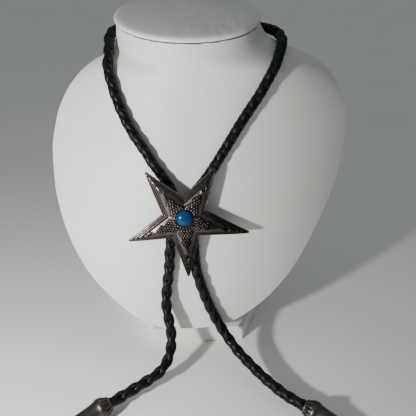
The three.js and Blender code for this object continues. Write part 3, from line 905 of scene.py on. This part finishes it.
def leatherette(name, colour, folds=0.0):
    """Pebbled and slightly uneven, with a dark seam line that also paints the shade in the gap
    under the cap's pad and, on the cap, soft diagonal folds.
    """
    n = Nodes(name)
    warm = tuple(c * kept for c, kept in zip(colour, LEATHERETTE_WARM))
    cloth = n.mix(n.range(n.noise(28, 4), 0, 1, 0.35, 0.7), colour, warm)
    # the seam line is painted dark: the joint and the shade in the gap under the pad
    n.to("Base Color", n.mix(n.attribute("seam_and_shade"), cloth, SEAM_AND_SHADE_COLOUR))
    n.to("Roughness", n.range(n.noise(60, 3), 0.42, 0.56, 0.3, 0.7))
    pebbles = n.bump(n.cells(1500), 0.00012, 0.35)
    grain = n.bump(n.noise(5200, 3), 0.00005, 0.35, pebbles)
    normal = n.bump(n.noise(38, 2), 0.0006, 0.25, grain)
    if folds:
        patches = n.range(n.noise(16, 1), 0, 1, 0.42, 0.6)
        creases = n.noise(130, 2, where=n.stretched(FOLD_STRETCH, FOLD_TURN))
        normal = n.bump(n.maths("MULTIPLY", creases, patches), folds, 0.5, normal)
    n.to("Normal", normal)
    n.set(Specular_IOR_Level=0.45)
    return n.material


def black_leather(name):
    """Dull in places and shiny in others, with a fine grain."""
    n = Nodes(name)
    n.to("Base Color", n.mix(n.range(n.noise(420, 4), 0, 1, 0.4, 0.75), *LEATHER_COLOURS))
    n.to("Roughness", n.range(n.noise(320, 3), 0.26, 0.5, 0.36, 0.6))
    grain = n.bump(n.cells(2600), 0.00007, 0.5)
    n.to("Normal", n.bump(n.noise(1400, 4), 0.00012, 0.45, grain))
    n.set(Specular_IOR_Level=0.16)
    return n.material


def antique_metal(name, colours, low, high):
    """Bright where it is worn, and darker and rougher, from low to high, with its patina; on the
    star that patina also holds painted shade.
    """
    n = Nodes(name)
    n.set(Metallic=1.0)
    spots = n.range(n.noise(650, 5, 0.6), -0.22, 0.3, 0.3, 0.72)
    # patina and spots, with the star's painted shade carried in its patina
    stain_and_shade = n.maths("ADD", n.attribute("patina"), spots)
    n.to("Base Color", n.mix(n.range(stain_and_shade, 0, 1, 0.12, 0.95), *colours))
    scuffs = n.range(n.noise(2400, 3), -0.04, 0.06, 0.3, 0.7)
    n.to("Roughness", n.maths("ADD", n.range(stain_and_shade, low, high, 0, 1), scuffs))
    n.to("Normal", n.bump(n.noise(1800, 5, 0.6), 0.00008, 0.3))
    return n.material


def turquoise(name):
    """Clouded blue with thin darker veins, where a noise passes its middle value."""
    n = Nodes(name)
    cloud = n.mix(n.range(n.noise(330, 5, 0.6), 0, 1, 0.35, 0.7), *STONE_COLOURS)
    field = n.noise(260, 6, distortion=1.4)
    from_middle = n.maths("ABSOLUTE", n.maths("SUBTRACT", field, 0.5), 0)
    n.to("Base Color", n.mix(n.range(from_middle, 0.75, 0, 0, 0.022), cloud, STONE_VEIN))
    n.to("Roughness", n.range(n.noise(900, 3), 0.16, 0.28, 0.3, 0.7))
    n.to("Normal", n.bump(n.noise(700, 3), 0.00006, 0.25))
    n.set(Specular_IOR_Level=0.28)
    return n.material


def floor_material():
    n = Nodes("floor_paint")
    n.to("Base Color", n.mix(n.range(n.noise(9, 4), 0, 1, 0.3, 0.7), *FLOOR_COLOURS))
    n.set(Roughness=0.6, Specular_IOR_Level=0.3)
    n.to("Normal", n.bump(n.noise(900, 3), 0.0001, 0.12))
    return n.material


# ---------------------------------------------------------- building the object
# A twist turns a braid about its cord, so that the three don't look alike.
CORDS = [
    {"name": "cord_loop", "route": LOOP_ROUTE, "tip": None, "twist": 0.6, "swell": 1.0},
    {"name": "cord_tail_left", "route": LEFT_ROUTE, "tip": "tip_left", "twist": 0.2,
     "swell": TAIL_SWELL},
    {"name": "cord_tail_right", "route": RIGHT_ROUTE, "tip": "tip_right", "twist": 1.1,
     "swell": TAIL_SWELL},
]


def dress(obj, material, slot, *nodes):
    """Give a piece its material and body, and hide the CAD nodes that it replaces."""
    obj.data.materials.clear()
    obj.data.materials.append(material)
    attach(obj, "root")
    if nodes:
        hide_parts(*nodes)
    return obj


def lay_cord(name, route, tip, twist, swell, material, tips):
    """A braided cord along its route, and into its tip where it has one."""
    points = into_tip(route, TIPS[tip]) if tip else route
    centre, length = catmull_rom(points, STRAND_STEP)
    cord = dress(braid(name + "_braid", centre, twist, swell), material, "black_leather", name)


def build_cords():
    leather = black_leather("braided_leather")
    gunmetal = antique_metal("gunmetal", GUNMETAL_COLOURS, 0.38, 0.55)
    tips = {name: dress(make_tip(name), gunmetal, "gunmetal", name) for name in TIPS}
    for cord in CORDS:
        lay_cord(**cord, material=leather, tips=tips)


def build_bust():
    white = leatherette("white_leatherette", LEATHERETTE)
    white_cap = leatherette("cap_leatherette", LEATHERETTE, CAP_FOLDS)
    white_foot = leatherette("foot_leatherette", FOOT_LEATHERETTE)
    dress(make_bust(), white, "bust_leatherette", "bust_body")
    dress(make_cap(), white_cap, "cap_leatherette", "neck_cap")
    dress(make_foot(), white_foot, "foot_leatherette", "bust_foot")


def build_slide():
    silver = antique_metal("antique_silver", SILVER_COLOURS, 0.27, 0.38)
    dress(make_star(), silver, "antique_silver", "star_slide")
    dress(make_clip(), silver, "antique_silver")
    dress(make_stone(), turquoise("turquoise"), "turquoise", "turquoise_stone")


# ---------------------------------------------------------------- floor and light
FLOOR_REACH = 6.0                 # metres
SKY_COLOUR = (0.80, 0.84, 0.86)
SKY_LOW, SKY_HIGH = 0.08, 0.43    # the studio's light from its horizon and from right above
KEY_AT = (-0.170, -0.211, 0.125)  # metres
KEY_SIZE, KEY_POWER = 0.020, 0.92
KEY_COLOUR = (1.0, 0.985, 0.955)


def make_floor():
    far = FLOOR_REACH
    corners = [(-far, -far, 0), (far, -far, 0), (far, far, 0), (-far, far, 0)]
    floor = add_object("floor", corners, [(0, 1, 2, 3)])
    floor.data.materials.append(floor_material())


def make_key_light():
    """A small round light, low at the left, that looks at the slide."""
    data = bpy.data.lights.new("key", "AREA")
    data.shape = "DISK"
    data.size = KEY_SIZE
    data.energy = KEY_POWER
    data.color = KEY_COLOUR
    light = bpy.data.objects.new("key", data)
    light.location = KEY_AT
    way = Vector(SLIDE_AT * MM) - Vector(KEY_AT)
    light.rotation_euler = way.to_track_quat("-Z", "Y").to_euler()
    bpy.context.scene.collection.objects.link(light)


def make_world():
    """A soft light from all round that grows from the horizon to right above."""
    world = bpy.data.worlds.new("studio")
    world.use_nodes = True
    nodes, links = world.node_tree.nodes, world.node_tree.links
    background = nodes["Background"]
    background.inputs["Color"].default_value = (*SKY_COLOUR, 1.0)
    way = nodes.new("ShaderNodeTexCoord")
    parts = nodes.new("ShaderNodeSeparateXYZ")
    sky = nodes.new("ShaderNodeMapRange")
    sky.inputs["To Min"].default_value = SKY_LOW
    sky.inputs["To Max"].default_value = SKY_HIGH
    links.new(way.outputs["Generated"], parts.inputs["Vector"])
    links.new(parts.outputs["Z"], sky.inputs["Value"])
    links.new(sky.outputs["Result"], background.inputs["Strength"])
    bpy.context.scene.world = world


build_cords()
build_bust()
build_slide()
make_floor()
make_world()
make_key_light()
